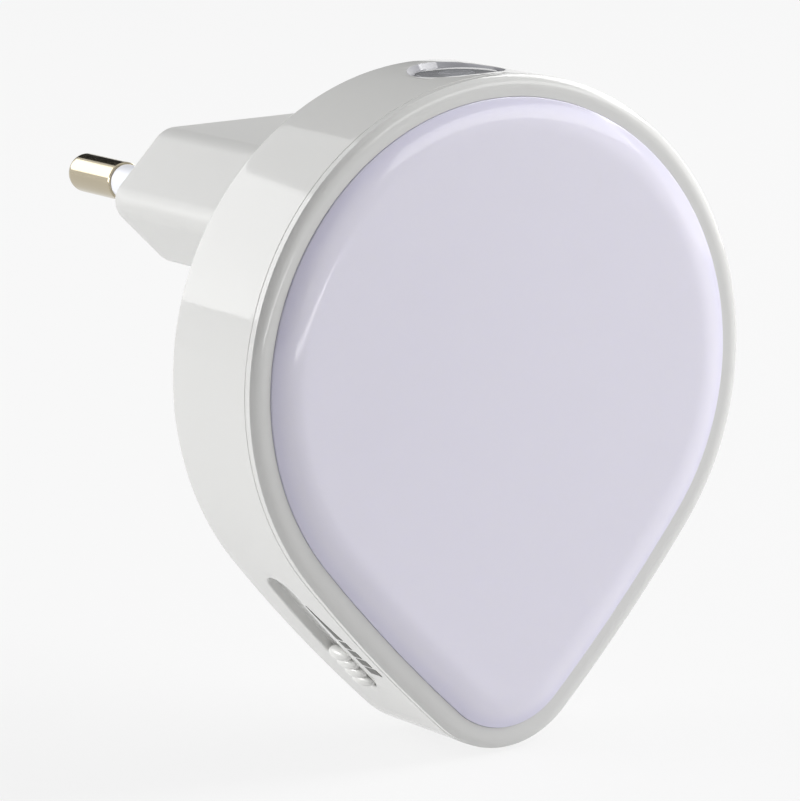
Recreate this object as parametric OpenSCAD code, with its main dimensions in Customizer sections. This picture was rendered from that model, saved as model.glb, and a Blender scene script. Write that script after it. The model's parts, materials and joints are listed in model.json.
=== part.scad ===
// Plug-in LED night light: a drop-shaped lamp that hangs on a two-pin wall socket.
// Origin: centre of the plug's pin face. +Y points into the socket, +Z is up, the lamp shines towards -Y.

/* [Body] */
// Radius of the round upper part of the body
top_r = 28.4; // [27.5:0.1:31]
// Radius of the rounded lower tip
tip_r = 10.2; // [9.6:0.1:12]
// Drop from the centre of the round top to the centre of the tip
tip_drop = 26.8; // [26:0.1:30]
// Radius of the slightly bowed flanks between top and tip
flank_r = 167; // [120:1:260]
// Depth of the body from its back to its front rim
body_depth = 14; // [14:0.1:18]
// Thickness of the side wall
side_wall = 1.6; // [1.4:0.1:1.8]
// Thickness of the back wall
back_wall = 2; // [1.4:0.1:2.2]

/* [Bezel ring] */
// Step from the side wall in to the ring's lip
lip_step = 0.4; // [0.3:0.05:0.6]
// Distance from the side wall's outside to the lip's inner edge
lip_edge = 2.1; // [2:0.05:2.4]
// Depth of the lip in front of the side wall
lip_depth = 1.2; // [1:0.1:1.4]
// Distance from the side wall's outside to the shelf's inner edge
shelf_edge = 4; // [3.6:0.1:4.6]
// Thickness of the shelf that carries the diffuser
shelf_wall = 0.8; // [0.6:0.1:1]
// Thickness of the ring's skirt inside the side wall
skirt_wall = 0.9; // [0.7:0.1:1]
// Depth that the skirt reaches behind the shelf
skirt_reach = 1.6; // [1.4:0.1:1.8]
// Height of the snap bead on the skirt
bead_height = 0.3; // [0.2:0.05:0.4]
// Width of the snap bead from front to back
bead_width = 0.5; // [0.4:0.1:0.6]

/* [Diffuser] */
// Height of the diffuser's edge in front of the lip
edge_height = 0.45; // [0.3:0.05:0.8]
// Height of the diffuser's crown above its edge
crown_height = 0.85; // [0.5:0.05:1.2]
// Width of the rounding between edge and crown
crown_edge = 2.6; // [2:0.1:4]
// Thickness of the diffuser's front and sides
diffuser_wall = 1.6; // [1.2:0.1:1.7]
// Thickness of the skirt that locates the diffuser in the shelf
locator_wall = 0.9; // [0.7:0.1:1.2]

/* [Plug] */
// Width of the plug body
plug_w = 33.4; // [32.5:0.1:36]
// Height of the plug body
plug_h = 13.7; // [13.3:0.1:14.4]
// Length of the plug body behind the lamp body
plug_len = 29.2; // [27:0.1:34]
// Leg of the plug body's 45 degree corners
plug_corner = 5.9; // [4:0.1:6.2]
// Wall of the plug body
plug_wall = 1.8; // [1.4:0.1:2]
// Thickness of the end that holds the pins
plug_end = 2.5; // [2:0.1:3.5]
// Height of the plug's centre above the centre of the round top
body_drop = 12.7; // [10:0.1:13.5]
// Distance between the two pin centres
pin_gap = 18.6; // [18:0.1:19.2]
// Radius of the bare metal end of a pin
pin_r = 2; // [1.9:0.05:2.1]
// Length of a pin outside the plug
pin_len = 19; // [18:0.1:19.5]
// Radius of the rounding at the pin's tip
pin_nose = 1.5; // [0.5:0.1:1.8]
// Radius of the pin inside its sleeve
core_r = 1.45; // [1.2:0.05:1.5]
// Radius of the insulating sleeve
sleeve_r = 1.8; // [1.7:0.05:1.95]
// Length of the sleeve outside the plug
sleeve_len = 10; // [9:0.1:11]
// Radius of the sleeve's inner flange
sleeve_flange_r = 2.9; // [2.6:0.1:3.2]
// Thickness of the sleeve's inner flange
sleeve_flange = 0.8; // [0.6:0.1:1.2]
// Radius of the pin's head inside the plug
pin_head_r = 2.6; // [2.4:0.1:3]
// Thickness of the pin's head
pin_head = 1.2; // [0.8:0.1:1.6]
// Radius of the pin's solder tail
tail_r = 1; // [0.8:0.1:1.2]
// Length of the solder tail behind the retainer
tail_len = 1.6; // [1:0.1:2.5]
// Thickness of the plate that holds the pins in
retainer_plate = 1.2; // [1:0.1:1.6]
// Radius of the mains wires
wire_r = 0.75; // [0.6:0.05:0.9]

/* [Light sensor] */
// Distance from the back of the body to the sensor's axis
sensor_depth = 6.9; // [6.8:0.05:7]
// Radius of the clear sensor window
window_r = 4; // [3.6:0.1:4.2]
// Depth of the window below the body's surface
window_sink = 0.8; // [0.5:0.1:0.9]
// Radius of the countersunk rim around the window
window_rim_r = 4.8; // [4.5:0.1:5]
// Radius of the black shroud's disc under the window
shroud_r = 4.6; // [4.3:0.1:4.6]
// Thickness of the shroud's disc
shroud_disc = 1.2; // [0.8:0.1:1.4]
// Radius of the photocell
photocell_r = 1.5; // [1.2:0.05:1.5]
// Height of the photocell without its dome
photocell_h = 1.8; // [1.4:0.1:2.2]
// Wall of the shroud's tube around the photocell
shroud_wall = 0.55; // [0.4:0.05:0.55]
// Length of the shroud's tube
shroud_tube = 4; // [3.6:0.1:4.2]
// Distance of the photocell's leads from its axis
cell_lead_step = 1; // [0.8:0.05:1]
// Distance from the photocell to the bend of its leads
cell_lead_drop = 1.4; // [1:0.1:1.6]

/* [Dimmer] */
// Distance along the flank from the slot's centre down to its lower end
slot_down = 13.1; // [11.3:0.1:13.6]
// Distance from the back of the body to the slot's centre
slot_depth = 6.2; // [6.2:0.05:6.4]
// Length of the recess that the knob slides in
slot_len = 16.4; // [15.6:0.1:17]
// Width of the recess
slot_w = 4; // [3.6:0.1:4.4]
// Depth of the recess
slot_sink = 0.9; // [0.7:0.05:0.9]
// Length of the knob
knob_len = 6; // [5.4:0.1:6.6]
// Height of the knob's body above the wall's surface
knob_rise = 0.3; // [0.2:0.05:0.6]
// Number of ribs on the knob
rib_count = 4; // [3:1:4]
// Distance between two ribs
rib_pitch = 1.3; // [1.1:0.05:1.3]
// Height of the ribs above the knob's body
rib_height = 0.4; // [0.2:0.05:0.6]
// Width of a rib
rib_w = 0.6; // [0.4:0.05:0.8]
// Length of the lever that carries the knob
lever_len = 2.4; // [2:0.1:3]
// Thickness of the lever
lever_w = 1.2; // [0.8:0.1:1.2]
// Depth that the lever reaches into the knob
lever_grip = 0.5; // [0.3:0.05:0.6]
// Length of the slide potentiometer's case
case_len = 19; // [18.4:0.1:19.2]
// Size of the case away from the side wall
case_deep = 5; // [4.8:0.1:5.2]
// Wall of the case
case_wall = 0.5; // [0.4:0.05:0.6]
// Thickness of the resistive track's strip
track_strip = 0.6; // [0.4:0.05:0.8]
// Length of the carrier inside the case
carrier_len = 5; // [4:0.1:6]
// Height of the carrier inside the case
carrier_h = 2; // [1.6:0.1:2.2]
// Distance between two terminals of the potentiometer
terminal_pitch = 8; // [7:0.1:8.4]
// Distance of the terminals from the deep side of the case
terminal_inset = 1.2; // [1:0.1:2]

/* [Boards] */
// Gap between the back wall and the main board
board_lift = 1; // [0.8:0.1:1]
// Gap between the side wall and the main board
board_rim = 0.4; // [0.3:0.05:0.8]
// Thickness of the main board
board_wall = 1.2; // [1:0.1:1.2]
// Distance from the body's outside to the round part of the LED board
led_disc_inset = 9.4; // [9.2:0.1:10]
// Width of the LED board's tongue towards the tip
tongue_w = 9; // [7:0.1:9]
// Distance of the tongue's end above the centre of the tip
tongue_short = 1; // [0.8:0.1:2]
// Thickness of the LED board
led_board_wall = 1; // [0.8:0.1:1]
// Thickness of the light tray's floor
tray_floor = 0.8; // [0.7:0.1:1]
// Height of the light tray with its rim
tray_height = 2.8; // [2.4:0.1:2.8]
// Thickness of the light tray's rim
tray_rim = 0.8; // [0.6:0.1:1]
// Number of LEDs in the ring
led_count = 6; // [4:2:6]
// Distance from the edge of the LED board's round part to the ring of LEDs
led_ring_inset = 6.5; // [6.3:0.1:8]
// Distance from the tongue's end to its LED
led_tongue_inset = 4.3; // [3:0.1:5]
// Size of one LED: width, height, thickness
led_size = [3.5, 2.8, 0.8];
// Distance from the edge of the LED board's round part to the ring of stakes
stake_inset = 2.6; // [2.2:0.1:2.6]
// Radius of a stake
stake_r = 0.8; // [0.6:0.05:0.9]
// Radius of the screw bosses
boss_r = 2.5; // [2.2:0.1:2.5]
// Distance from the body's outside to the axes of the bosses
boss_inset = 6.3; // [6.1:0.1:6.5]
// Angle of the upper bosses above the horizontal
boss_angle = 30; // [22:1:36]
// Radius of the tray screws' shanks
screw_r = 0.95; // [0.8:0.05:1.1]
// Length of the tray screws' shanks
screw_len = 6; // [4:0.1:7]
// Radius of the tray screws' heads
screw_head_r = 1.9; // [1.6:0.1:2.1]
// Height of the screw heads
screw_head = 1.2; // [0.9:0.1:1.4]
// Places of the two board screws: distance sideways, height over the round top's centre
board_screw_at = [14.5, -5];
// Radius of the pads under the board screws
pad_r = 2.4; // [2:0.1:2.8]
// Length of the leads that stand out behind the boards
lead_stub = 0.4; // [0.3:0.05:0.6]

/* [Components] */
// Dropper capacitor: width, length into the plug, height
dropper_size = [10, 12, 6];
// Sideways place of the dropper capacitor
dropper_x = -3.2; // [-3.4:0.1:-3]
// Distance of the dropper capacitor's leads from its sides
dropper_lead_inset = 1.4; // [1:0.1:3]
// Radius of the smoothing capacitor
smoother_r = 3.15; // [2.5:0.05:3.2]
// Length of the smoothing capacitor
smoother_len = 11; // [7:0.5:12]
// Sideways place of the smoothing capacitor
smoother_x = 5.1; // [5:0.1:5.3]
// Distance between the smoothing capacitor's leads
smoother_lead_gap = 2.5; // [2:0.1:3.5]
// Bridge rectifier: width, height, thickness
bridge_size = [4.8, 4, 2.4];
// Place of the bridge rectifier on the board
bridge_at = [-8, -4];
// Controller chip: width, height, thickness
chip_size = [4.9, 3.9, 1.5];
// Place of the controller chip on the board
chip_at = [4, -9];
// Number of leads on each side of the chip
chip_leads = 4; // [3:1:5]
// Length of the flat leads of the chip and the rectifier
flat_lead = 1; // [0.8:0.1:1.2]
// Fusible resistor: radius, length
fuse_size = [1.3, 7];
// Distance from the fusible resistor's ends to its leads
fuse_lead_gap = 1; // [0.8:0.1:1.5]
// Place of the fusible resistor on the board
fuse_at = [0, 2];
// Chip resistor: width, height, thickness
resistor_size = [3.2, 1.6, 0.6];
// Number of chip resistors in the row
resistor_count = 5; // [3:1:5]
// Place of the first chip resistor on the board
resistor_at = [9.5, 3];
// Distance between two chip resistors
resistor_pitch = 2.8; // [2.2:0.1:2.8]
// Header between the boards: width, height, thickness
header_size = [5, 2.5, 2.5];
// Place of the header on the boards
header_at = [-6, -13];
// Radius of the thin leads of the components
lead_r = 0.4; // [0.3:0.05:0.45]

/* [Clearances] */
// Gap between parts that are pushed together
fit_gap = 0.15; // [0.1:0.01:0.2]
// Gap around a round part in its bore
bore_gap = 0.05; // [0.03:0.01:0.08]
// Gap around the moving dimmer parts
slide_gap = 0.2; // [0.15:0.01:0.25]
// Gap around the diffuser's visible edge
diffuser_gap = 0.1; // [0.05:0.01:0.2]

/* [Hidden] */
$fn = 64;

over = 1;                                   // how far a cut runs past the face it opens
white = "#eeeeec";
opal = "#d8d6e4";

// Outline of the body: a big arc on top, a small one at the tip, two bowed flanks that touch both
spread = flank_r - top_r;
flank_from = asin((spread ^ 2 + tip_drop ^ 2 - (flank_r - tip_r) ^ 2) / (2 * tip_drop * spread));
flank_c = -spread * [cos(flank_from), sin(flank_from)];
flank_to = atan2(-tip_drop - flank_c.y, -flank_c.x);

// Depths are counted from the back of the body towards its front
back_y = -plug_len;
board_back = back_wall + board_lift;
board_front = board_back + board_wall;
lip_back = body_depth - lip_depth;
shelf_back = lip_back - shelf_wall;
tray_back = shelf_back - tray_height;
led_board_back = tray_back - led_board_wall;
tray_front = tray_back + tray_floor;
crown_front = body_depth + edge_height + crown_height;

inner_edge = side_wall + fit_gap;           // inset of what lies against the side wall's inside
skirt_edge = inner_edge + skirt_wall;       // inset of the bezel skirt's inside
bead_back = shelf_back - (skirt_reach + bead_width) / 2;
bead_front = bead_back + bead_width;
diffuser_edge = lip_edge + diffuser_gap;
locator_edge = shelf_edge + fit_gap;
crown_r = (crown_edge ^ 2 + crown_height ^ 2) / (2 * crown_height);
crown_turn = asin(crown_edge / crown_r);
crown_steps = 6;                            // flat bands in the rounding
crown_set = 0.05;                           // how far the rounding's foot stands inside the edge

pin_head_front = -plug_end - sleeve_flange;
retainer_front = pin_head_front - pin_head;
tail_end = retainer_front - retainer_plate - tail_len;

window_top = top_r - window_sink;
shroud_top = sqrt((top_r - side_wall) ^ 2 - shroud_r ^ 2) - fit_gap;
shroud_tube_r = photocell_r + fit_gap + shroud_wall;
photocell_base = shroud_top - shroud_disc - shroud_tube + fit_gap;
lead_bend = photocell_base - cell_lead_drop;

travel = slot_len - knob_len - 2 * slide_gap;
slot_angle = flank_to + slot_down / flank_r * 180 / PI;
slot_at = flank_c + flank_r * [cos(slot_angle), sin(slot_angle)];
knob_base = slide_gap - slot_sink;
case_half = slot_depth - board_front;       // the case stands on the main board, centred on the slot
case_front = -side_wall - 3 * slide_gap;    // clear of the bowed wall at both ends of the case
case_back = case_front - case_deep;
carrier_top = case_front - case_wall - slide_gap;
track_top = case_back + case_wall + track_strip;
carrier_half = case_half - case_wall - slide_gap;
inside_len = case_len - 2 * case_wall;
inside_w = 2 * (case_half - case_wall);

led_disc_r = top_r - led_disc_inset;
led_ring_r = led_disc_r - led_ring_inset;
stake_ring_r = led_disc_r - stake_inset;
tongue_drop = tip_drop - tongue_short;

bosses = [
    (top_r - boss_inset) * [-cos(boss_angle), sin(boss_angle)],
    (top_r - boss_inset) * [cos(boss_angle), sin(boss_angle)],
    [0, -tip_drop - tip_r + boss_inset]
];
board_screws_at = [board_screw_at, [-board_screw_at.x, board_screw_at.y]];
led_places = concat(
    [for (i = [0.5 : led_count]) led_ring_r * [cos(360 / led_count * i), sin(360 / led_count * i)]],
    [[0, 0], [0, led_tongue_inset - tongue_drop]]
);
stakes = [for (a = [60, 180, 300]) stake_ring_r * [cos(a), sin(a)]];
dropper_leads = [for (s = [-1, 1]) [dropper_x + s * (dropper_size.x / 2 - dropper_lead_inset), body_drop]];
smoother_leads = [for (s = [-1, 1]) [smoother_x + s * smoother_lead_gap / 2, body_drop]];
fuse_reach = fuse_size[1] / 2 + fuse_lead_gap;
fuse_leads = [for (s = [-1, 1]) [fuse_at.x + s * fuse_reach, fuse_at.y]];
cell_leads = [for (s = [-1, 1]) [s * cell_lead_step, lead_bend]];
header_leads = [for (s = [-1, 1]) [header_at.x + s * header_size.x / 4, header_at.y]];

// Plate with the outline of the body moved inwards by inset, between two depths
module slab(from, to, inset = 0) {
    layer(from, to)
        circle(r = top_r - inset);
    layer(from, to)
        translate([0, -tip_drop])
            circle(r = tip_r - inset);
    layer(from, to)
        intersection() {
            flank_zone();
            intersection_for(s = [-1, 1])
                translate([s * flank_c.x, flank_c.y])
                    circle(r = flank_r - inset, $fn = 360);
        }
}

// Where the flanks make the outline: between the lines from the two centres through the tangent points
module flank_zone() {
    far = flank_r + top_r;
    upper = flank_c + far * [cos(flank_from), sin(flank_from)];
    lower = flank_c + far * [cos(flank_to), sin(flank_to)];
    polygon([[0, 0], upper, lower, [0, -tip_drop], [-lower.x, lower.y], [-upper.x, upper.y]]);
}

// The same outline as a plate whose front edge is rounded by a stack of ever smaller outlines
module crowned_slab(inset, from, to) {
    edge = to - crown_height;
    slab(from, edge, inset);
    hull()
        for (i = [0 : crown_steps]) {
            turn = crown_turn * i / crown_steps;
            ring = inset + crown_set + crown_edge - crown_r * sin(turn);
            slab(edge - crown_set, to - crown_r * (1 - cos(turn)), ring);
        }
}

// Stands a shape drawn on the floor upright: its floor is the back of the body, its height the depth
module stand() {
    translate([0, back_y, -body_drop])
        rotate([90, 0, 0])
            children();
}

// Extrudes a flat shape, drawn around the centre of the round top, between two depths of the body
module layer(from, to) {
    stand()
        translate([0, 0, from])
            linear_extrude(to - from)
                children();
}

// Round bars along the depth at a list of places
module bars(places, r, from, to) {
    for (p = places)
        layer(from, to)
            translate(p) circle(r = r);
}

// Block that stands on a depth of the body
module block(at, size, from) {
    layer(from, from + size.z)
        translate(at) square([size.x, size.y], center = true);
}

// Along the plug: local z becomes +Y
module along_plug(x = 0) {
    translate([x, 0, 0])
        rotate([-90, 0, 0])
            children();
}

// Across the top wall at the sensor: local z is the distance from the centre of the round top
module at_sensor() {
    translate([0, back_y - sensor_depth, -body_drop])
        children();
}

// On the left flank at the slot: x runs up the wall, y to the back, z out of the wall
module at_slot() {
    translate([-slot_at.x, back_y - slot_depth, slot_at.y - body_drop])
        rotate([0, slot_angle - 90, 0])
            children();
}

// Everything that the knob moves, shown at the lower end of the travel
module at_knob() {
    at_slot()
        translate([-travel / 2, 0, 0])
            children();
}

module brick(size, at = [0, 0, 0]) {
    translate(at)
        translate([-size.x / 2, -size.y / 2, 0])
            cube(size);
}

// Flat bar with round ends, its underside at z = 0
module pill(length, width, height) {
    brick([length - width, width, height]);
    for (s = [-1, 1])
        translate([s * (length - width) / 2, 0, 0])
            cylinder(r = width / 2, h = height);
}

module plug_outline(inset = 0) {
    w = plug_w / 2 - inset;
    h = plug_h / 2 - inset;
    c = plug_corner - inset * (2 - sqrt(2));
    polygon([
        [w, c - h], [w, h - c], [w - c, h], [c - w, h],
        [-w, h - c], [-w, c - h], [c - w, -h], [w - c, -h]
    ]);
}

module plug_prism(inset, from, to) {
    translate([0, to, 0])
        rotate([90, 0, 0])
            linear_extrude(to - from)
                plug_outline(inset);
}

// Clears the sensor shroud out of what lies close under the top wall
module sensor_notch() {
    at_sensor()
        translate([0, 0, shroud_top - shroud_disc - fit_gap])
            cylinder(r = shroud_r + fit_gap, h = side_wall + shroud_disc + window_sink + over);
}

module rear_housing() {
    color(white)
        difference() {
            union() {
                difference() {
                    slab(0, lip_back);
                    slab(back_wall, body_depth, side_wall);
                    slab(bead_back - fit_gap, bead_front + fit_gap, side_wall - bead_height);
                }
                plug_prism(0, back_y - back_wall / 2, 0);
                bars(bosses, boss_r, back_wall / 2, tray_back);
                bars(board_screws_at, pad_r, back_wall / 2, board_back);
            }
            plug_prism(plug_wall, back_y - back_wall - over, -plug_end);
            for (s = [-1, 1])
                along_plug(s * pin_gap / 2)
                    translate([0, 0, -plug_end - over])
                        cylinder(r = sleeve_r + bore_gap, h = plug_end + 2 * over);
            bars(bosses, screw_r + bore_gap, tray_front - screw_len - bore_gap, tray_back + over);
            bars(board_screws_at, screw_r + bore_gap, back_wall / 2 - bore_gap, board_back + over);
            at_sensor() {
                translate([0, 0, window_top - window_r])
                    cylinder(r = window_r + bore_gap, h = 2 * window_r);
                translate([0, 0, window_top])
                    cylinder(r1 = window_r + bore_gap, r2 = window_rim_r, h = window_sink);
                translate([0, 0, top_r])
                    cylinder(r = window_rim_r, h = over);
            }
            at_slot() {
                translate([0, 0, -slot_sink])
                    pill(slot_len, slot_w, slot_sink + over);
                brick([travel + lever_len + 2 * slide_gap, lever_w + 2 * slide_gap, 2 * side_wall + over],
                    [0, 0, -2 * side_wall]);
            }
        }
}

module bezel_ring() {
    color(white)
        difference() {
            union() {
                slab(lip_back, body_depth, lip_step);
                slab(shelf_back - skirt_reach, lip_back, inner_edge);
                slab(bead_back, bead_front, inner_edge - bead_height);
            }
            slab(lip_back, body_depth + over, lip_edge);
            slab(shelf_back - over, lip_back + over, shelf_edge);
            slab(shelf_back - skirt_reach - over, shelf_back, skirt_edge);
            sensor_notch();
        }
}

module diffuser() {
    color(opal)
        difference() {
            union() {
                crowned_slab(diffuser_edge, lip_back, crown_front);
                slab(shelf_back, lip_back + diffuser_wall / 2, locator_edge);
            }
            slab(shelf_back - over, crown_front - diffuser_wall, locator_edge + locator_wall);
        }
}

module light_tray() {
    color("white")
        difference() {
            union() {
                slab(tray_back, tray_front, inner_edge);
                difference() {
                    slab(tray_back, shelf_back, skirt_edge + fit_gap);
                    slab(tray_back - over, shelf_back + over, skirt_edge + fit_gap + tray_rim);
                }
                bars(stakes, stake_r, led_board_back - fit_gap, tray_back);
            }
            for (p = led_places)
                layer(tray_back - over, tray_front + over)
                    translate(p) square([led_size.x, led_size.y] + 2 * fit_gap * [1, 1], center = true);
            bars(bosses, screw_r + fit_gap, tray_back - over, tray_front + over);
            sensor_notch();
        }
}

module led_board() {
    color("whitesmoke")
        difference() {
            layer(led_board_back, tray_back) {
                circle(r = led_disc_r);
                translate([-tongue_w / 2, -tongue_drop])
                    square([tongue_w, tongue_drop]);
            }
            bars(stakes, stake_r + bore_gap, led_board_back - over, tray_back + over);
            bars(header_leads, lead_r + bore_gap, led_board_back - over, tray_back + over);
        }
}

module leds() {
    color("khaki")
        for (p = led_places)
            block(p, led_size, tray_back);
}

module tray_screws() {
    color("silver") {
        bars(bosses, screw_r, tray_front - screw_len, tray_front);
        bars(bosses, screw_head_r, tray_front, tray_front + screw_head);
    }
}

module sensor_window() {
    color("lightsteelblue", 0.6)
        at_sensor()
            translate([0, 0, shroud_top])
                cylinder(r = window_r, h = window_top - shroud_top);
}

module sensor_shroud() {
    color("#222222")
        at_sensor()
            difference() {
                union() {
                    translate([0, 0, shroud_top - shroud_disc])
                        cylinder(r = shroud_r, h = shroud_disc);
                    translate([0, 0, shroud_top - shroud_disc - shroud_tube])
                        cylinder(r = shroud_tube_r, h = shroud_tube + shroud_disc);
                }
                translate([0, 0, shroud_top - shroud_disc - shroud_tube - over])
                    cylinder(r = photocell_r + fit_gap, h = shroud_tube + shroud_disc + 2 * over);
            }
}

module photocell() {
    color("slategray")
        at_sensor()
            translate([0, 0, photocell_base]) {
                cylinder(r = photocell_r, h = photocell_h);
                translate([0, 0, photocell_h])
                    sphere(r = photocell_r);
            }
}

module photocell_leads() {
    color("silver")
        for (p = cell_leads) {
            bars([p], lead_r, board_back - lead_stub, sensor_depth);
            at_sensor()
                translate([p.x, 0, p.y]) {
                    cylinder(r = lead_r, h = photocell_base - lead_bend);
                    sphere(r = lead_r);
                }
        }
}

module main_board() {
    color("seagreen")
        difference() {
            slab(board_back, board_front, side_wall + board_rim);
            bars(bosses, boss_r + fit_gap, board_back - over, board_front + over);
            bars(board_screws_at, screw_r + fit_gap, board_back - over, board_front + over);
            bars(concat(dropper_leads, smoother_leads, fuse_leads, cell_leads, header_leads),
                lead_r + bore_gap, board_back - over, board_front + over);
            terminals(lead_r + bore_gap, over);
            sensor_notch();
        }
}

module board_screws() {
    color("silver") {
        bars(board_screws_at, screw_r, back_wall / 2, board_front);
        bars(board_screws_at, screw_head_r, board_front, board_front + screw_head);
    }
}

module board_link() {
    color("#333333")
        difference() {
            block(header_at, header_size, board_front);
            bars(header_leads, lead_r, board_front - over, led_board_back);
        }
    color("gold")
        bars(header_leads, lead_r, board_back - lead_stub, tray_back - fit_gap);
}

// Flat leads in two rows beside a chip
module side_leads(at, size, count) {
    pitch = size.x / count;
    lead = [pitch / 3, flat_lead, size.z / 4];
    for (i = [0 : count - 1], s = [-1, 1])
        block(at + [(i + 0.5) * pitch - size.x / 2, s * (size.y + flat_lead) / 2], lead, board_front);
}

module bridge_rectifier() {
    color("#2a2a2a")
        block(bridge_at, bridge_size, board_front);
    color("silver")
        side_leads(bridge_at, bridge_size, 2);
}

module controller_chip() {
    color("#202020")
        block(chip_at, chip_size, board_front);
    color("silver")
        side_leads(chip_at, chip_size, chip_leads);
}

module chip_resistors() {
    color("#303030")
        for (i = [0 : resistor_count - 1])
            block(resistor_at - [0, i * resistor_pitch], resistor_size, board_front);
}

module fusible_resistor() {
    lift = board_front + fuse_size[0];
    color("lightblue")
        translate([fuse_at.x - fuse_size[1] / 2, back_y - lift, fuse_at.y - body_drop])
            rotate([0, 90, 0])
                cylinder(r = fuse_size[0], h = fuse_size[1]);
    color("silver") {
        bars(fuse_leads, lead_r, board_back - lead_stub, lift);
        for (s = [-1, 1])
            translate([fuse_at.x + s * fuse_reach, back_y - lift, fuse_at.y - body_drop]) {
                sphere(r = lead_r);
                rotate([0, -90 * s, 0])
                    cylinder(r = lead_r, h = fuse_lead_gap);
            }
    }
}

module dropper_capacitor() {
    color("goldenrod")
        layer(board_back - dropper_size.y, board_back)
            translate([dropper_x, body_drop]) square([dropper_size.x, dropper_size.z], center = true);
    color("silver")
        bars(dropper_leads, lead_r, board_back, board_front + lead_stub);
}

module smoothing_capacitor() {
    color("midnightblue")
        bars([[smoother_x, body_drop]], smoother_r, board_back - smoother_len, board_back);
    color("silver")
        bars(smoother_leads, lead_r, board_back, board_front + lead_stub);
}

module pin(side) {
    color("silver")
        along_plug(side * pin_gap / 2)
            rotate_extrude()
                polygon(concat(
                    [[0, tail_end], [tail_r, tail_end], [tail_r, retainer_front]],
                    [[pin_head_r, retainer_front], [pin_head_r, pin_head_front], [core_r, pin_head_front]],
                    [[core_r, sleeve_len], [pin_r, sleeve_len]],
                    [for (a = [0 : 15 : 90])
                        [pin_r - pin_nose + pin_nose * cos(a), pin_len - pin_nose + pin_nose * sin(a)]],
                    [[0, pin_len]]
                ));
}

module sleeve(side) {
    bore = core_r + bore_gap;
    color("#dfe3ea")
        along_plug(side * pin_gap / 2)
            rotate_extrude()
                polygon([
                    [bore, pin_head_front], [sleeve_flange_r, pin_head_front], [sleeve_flange_r, -plug_end],
                    [sleeve_r, -plug_end], [sleeve_r, sleeve_len], [bore, sleeve_len]
                ]);
}

module wire(side) {
    bars([[side * pin_gap / 2, body_drop]], wire_r, plug_depth(tail_end), board_back);
}

// Depth of a place along the plug, as the layers count it
function plug_depth(y) = back_y - y;

module left_pin() pin(-1);
module right_pin() pin(1);
module left_sleeve() sleeve(-1);
module right_sleeve() sleeve(1);

module pin_retainer() {
    color("#444444")
        difference() {
            plug_prism(plug_wall + fit_gap, retainer_front - retainer_plate, retainer_front);
            for (s = [-1, 1])
                along_plug(s * pin_gap / 2)
                    translate([0, 0, retainer_front - retainer_plate - over])
                        cylinder(r = tail_r + bore_gap, h = retainer_plate + 2 * over);
        }
}

module left_wire() color("saddlebrown") wire(-1);
module right_wire() color("royalblue") wire(1);

module dimmer_case() {
    color("silver")
        at_slot()
            difference() {
                brick([case_len, 2 * case_half, case_deep], [0, 0, case_back]);
                brick([inside_len, inside_w, case_deep - 2 * case_wall], [0, 0, case_back + case_wall]);
                brick([travel + lever_len + 2 * slide_gap, lever_w + 2 * slide_gap, 2 * case_wall + over],
                    [0, 0, case_front - 2 * case_wall]);
            }
}

module dimmer_track() {
    color("sienna")
        at_slot()
            brick([inside_len, inside_w, track_strip], [0, 0, case_back + case_wall]);
}

module terminals(r, extra) {
    from = case_half + board_wall + lead_stub + extra;
    for (i = [-1 : 1])
        at_slot()
            translate([i * terminal_pitch, from, case_back + terminal_inset])
                rotate([90, 0, 0])
                    cylinder(r = r, h = board_wall + lead_stub + 2 * extra);
}

module dimmer_terminals() {
    color("gold")
        terminals(lead_r, 0);
}

module dimmer_carrier() {
    color("ivory")
        at_knob() {
            brick([carrier_len, 2 * carrier_half, carrier_h], [0, 0, carrier_top - carrier_h]);
            brick([lever_len, lever_w, knob_base + lever_grip - carrier_top], [0, 0, carrier_top]);
        }
}

module dimmer_wiper() {
    spring = carrier_top - carrier_h - track_top - slide_gap;
    finger = carrier_half / 2;
    color("darkgoldenrod")
        at_knob()
            for (s = [-1, 1])
                brick([carrier_len - 2 * slide_gap, finger, spring], [0, s * finger, track_top + slide_gap]);
}

module dimmer_knob() {
    color(white)
        at_knob()
            difference() {
                union() {
                    translate([0, 0, knob_base])
                        pill(knob_len, slot_w - 2 * slide_gap, knob_rise - knob_base);
                    for (i = [0 : rib_count - 1])
                        brick([rib_w, slot_w - 4 * slide_gap, rib_height + knob_rise],
                            [(i - (rib_count - 1) / 2) * rib_pitch, 0, 0]);
                }
                brick([lever_len + 2 * bore_gap, lever_w + 2 * bore_gap, lever_grip + bore_gap + over],
                    [0, 0, knob_base - over]);
            }
}

rear_housing();
bezel_ring();
diffuser();
light_tray();
led_board();
leds();
tray_screws();
sensor_window();
sensor_shroud();
photocell();
photocell_leads();
main_board();
board_screws();
board_link();
bridge_rectifier();
controller_chip();
chip_resistors();
fusible_resistor();
dropper_capacitor();
smoothing_capacitor();
left_pin();
right_pin();
left_sleeve();
right_sleeve();
pin_retainer();
left_wire();
right_wire();
dimmer_case();
dimmer_track();
dimmer_terminals();
dimmer_carrier();
dimmer_wiper();
dimmer_knob();
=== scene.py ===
import json
import math

import bmesh
import bpy
from mathutils import Matrix, Vector
from mathutils.geometry import delaunay_2d_cdt

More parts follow.
